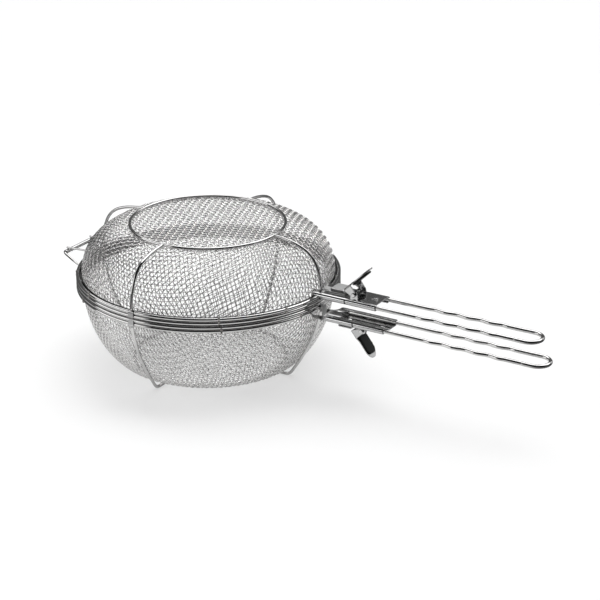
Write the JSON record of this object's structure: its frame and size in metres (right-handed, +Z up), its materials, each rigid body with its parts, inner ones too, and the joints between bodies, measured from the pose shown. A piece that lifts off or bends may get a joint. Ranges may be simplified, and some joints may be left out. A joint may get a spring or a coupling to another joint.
{
  "type": "grill basket",
  "caption": "Round hinged grill basket of two woven-mesh bowls with wire frames and lift-off loop handles held by squeeze-lever clamps.",
  "frame": {"origin": "on the vertical axis of the bowls, on the plane the lower base ring stands on", "axes": "+Z up along the bowls' axis, +X from the bowls' axis along the handles, hinge at -X"},
  "size_m": [0.6113, 0.3022, 0.1665],
  "materials": {
    "woven_mesh": "plain-woven stainless wire mesh, bright with soft grey crossings",
    "polished_wire": "mirror-polished stainless wire",
    "sheet_steel": "polished pressed stainless sheet with fine brushing",
    "spring_steel": "drawn spring wire, darker than the frame",
    "black_rubber": "satin black moulded rubber"
  },
  "bodies": {
    "lower_basket": {"lower_mesh_bowl": "woven_mesh", "lower_rim_wire_inner": "polished_wire", "lower_rim_wire_outer": "polished_wire", "lower_base_ring": "polished_wire", "lower_rib_handle": "polished_wire", "lower_rib_right": "polished_wire", "lower_rib_hinge": "polished_wire", "lower_rib_left": "polished_wire", "lower_rim_clip_handle": "sheet_steel", "lower_rim_clip_right": "sheet_steel", "lower_rim_clip_hinge": "sheet_steel", "lower_rim_clip_left": "sheet_steel", "lower_hinge_bail": "polished_wire"},
    "upper_basket": {"upper_mesh_bowl": "woven_mesh", "upper_rim_wire_inner": "polished_wire", "upper_rim_wire_outer": "polished_wire", "upper_base_ring": "polished_wire", "upper_rib_handle": "polished_wire", "upper_rib_right": "polished_wire", "upper_rib_hinge": "polished_wire", "upper_rib_left": "polished_wire", "upper_rim_clip_handle": "sheet_steel", "upper_rim_clip_right": "sheet_steel", "upper_rim_clip_hinge": "sheet_steel", "upper_rim_clip_left": "sheet_steel", "upper_hinge_sleeve": "sheet_steel", "upper_hinge_leg_left": "polished_wire", "upper_hinge_leg_right": "polished_wire"},
    "upper_handle": {"upper_handle_loop": "polished_wire", "upper_clamp_channel": "sheet_steel", "upper_jaw_rivet": "polished_wire", "upper_lever_pin": "polished_wire", "upper_lever_spring": "spring_steel"},
    "upper_jaw": {"upper_sliding_jaw": "sheet_steel"},
    "upper_lever": {"upper_squeeze_lever": "sheet_steel", "upper_lever_pad": "black_rubber"},
    "lower_handle": {"lower_handle_loop": "polished_wire", "lower_clamp_channel": "sheet_steel", "lower_jaw_rivet": "polished_wire", "lower_lever_pin": "polished_wire", "lower_lever_spring": "spring_steel"},
    "lower_jaw": {"lower_sliding_jaw": "sheet_steel"},
    "lower_lever": {"lower_squeeze_lever": "sheet_steel", "lower_lever_pad": "black_rubber"}
  },
  "joints": [
    {"name": "basket_hinge", "type": "hinge", "parent": "lower_basket", "child": "upper_basket", "pos_m": [-0.184, 0, 0.10006], "axis": [0, -1, 0], "range_deg": [0, 110]},
    {"name": "upper_handle_lift", "type": "slide", "parent": "upper_basket", "child": "upper_handle", "axis": [0, 0, 1], "range_m": [0, 0.06]},
    {"name": "lower_handle_lift", "type": "slide", "parent": "lower_basket", "child": "lower_handle", "axis": [0, 0, -1], "range_m": [0, 0.06]},
    {"name": "upper_lever_squeeze", "type": "hinge", "parent": "upper_handle", "child": "upper_lever", "pos_m": [0.1955, 0, 0.12026], "axis": [0, 1, 0], "range_deg": [0, 40], "stiffness_Nm_per_rad": 0.3, "springref_deg": -17.19},
    {"name": "lower_lever_squeeze", "type": "hinge", "parent": "lower_handle", "child": "lower_lever", "pos_m": [0.2055, 0, 0.07986], "axis": [0, -1, 0], "range_deg": [0, 40], "stiffness_Nm_per_rad": 0.3, "springref_deg": -17.19},
    {"name": "upper_jaw_slide", "type": "slide", "parent": "upper_handle", "child": "upper_jaw", "axis": [1, 0, 0], "range_m": [0, 0.006]},
    {"name": "lower_jaw_slide", "type": "slide", "parent": "lower_handle", "child": "lower_jaw", "axis": [1, 0, 0], "range_m": [0, 0.006]}
  ],
  "couplings": [
    {"joint": "upper_jaw_slide", "follows": "upper_lever_squeeze", "m_per_rad": 0.0085},
    {"joint": "lower_jaw_slide", "follows": "lower_lever_squeeze", "m_per_rad": 0.0085}
  ]
}
